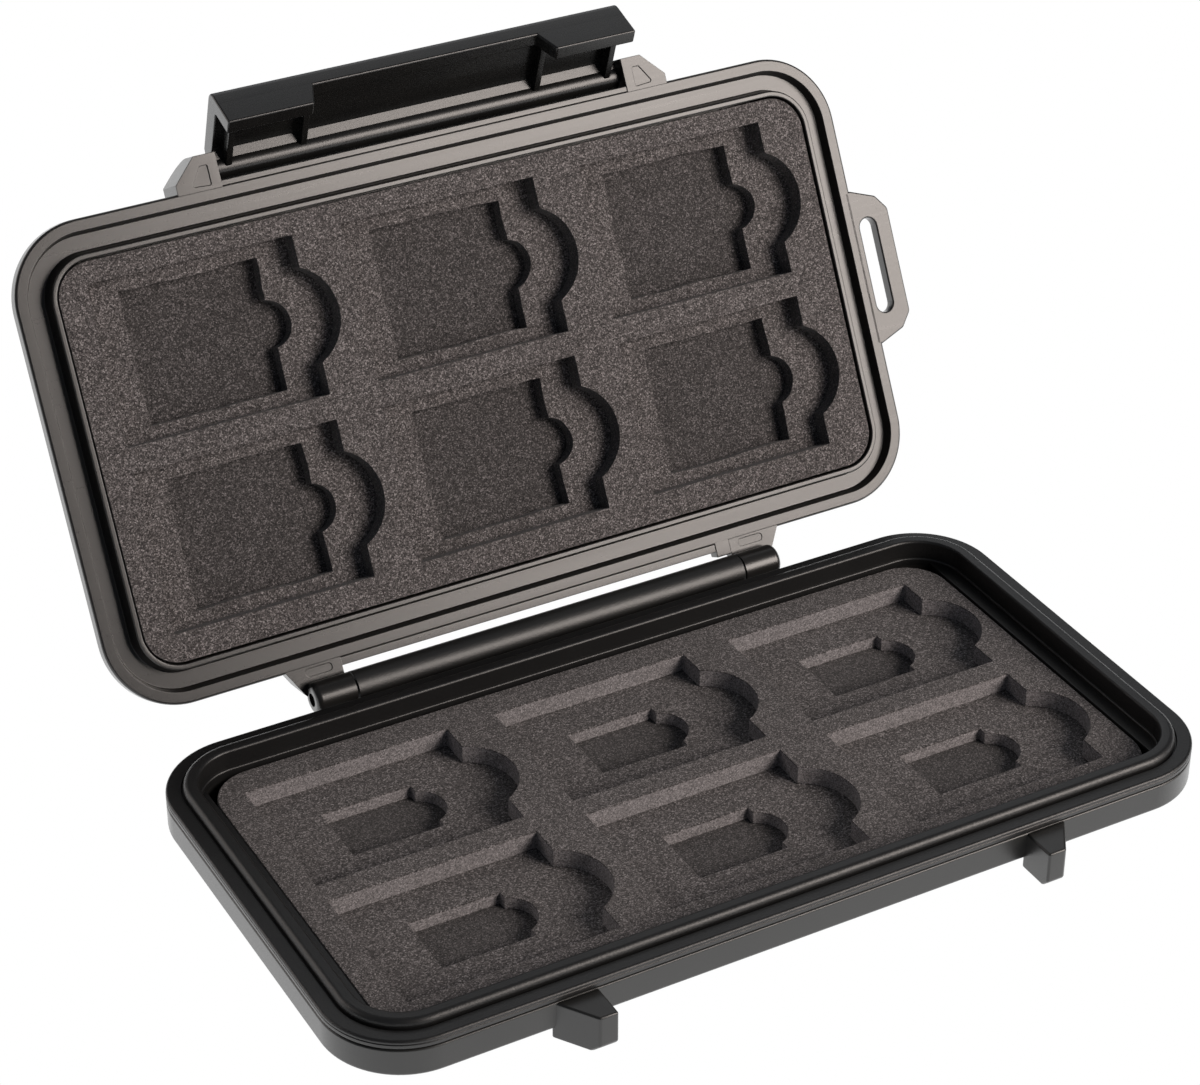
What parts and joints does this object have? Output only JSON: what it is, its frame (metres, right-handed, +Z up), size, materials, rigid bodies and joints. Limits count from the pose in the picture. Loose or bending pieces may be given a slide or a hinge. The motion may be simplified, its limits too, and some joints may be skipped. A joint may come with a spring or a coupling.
{
  "type": "memory card case",
  "caption": "Slim hinged case for memory cards, open, with die-cut foam pockets in both halves, a rubber sealed rim, a flip latch and a strap loop.",
  "frame": {"origin": "middle of the base's flat foot, on the surface it stands on", "axes": "+X along the hinge towards the strap loop, +Y from the latch side to the hinge side, +Z up; the lid stands open 118 degrees from closed"},
  "size_m": [0.1429, 0.1262, 0.0895],
  "materials": {
    "shell_plastic": "satin moulded plastic",
    "lid_plastic": "satin moulded plastic",
    "latch_plastic": "satin moulded plastic",
    "rim_rubber": "smooth moulded rubber",
    "foam": "closed-cell foam, die cut",
    "pin_steel": "plain drawn steel"
  },
  "bodies": {
    "base": {"base_shell": "shell_plastic", "rubber_rim": "rim_rubber", "base_foam_back": "foam", "base_foam_middle": "foam", "base_foam_face": "foam", "hinge_pin": "pin_steel"},
    "lid": {"lid_shell": "lid_plastic", "lid_foam_back": "foam", "lid_foam_middle": "foam", "lid_foam_face": "foam", "latch_pin": "pin_steel"},
    "latch": {"latch": "latch_plastic"}
  },
  "joints": [
    {"name": "lid_hinge", "type": "hinge", "parent": "base", "child": "lid", "pos_m": [0, 0.0403, 0.0099], "axis": [1, 0, 0], "range_deg": [0, 118]},
    {"name": "latch_hinge", "type": "hinge", "parent": "lid", "child": "latch", "pos_m": [0, 0.08161, 0.07695], "axis": [1, 0, 0], "range_deg": [-40, 44]}
  ]
}
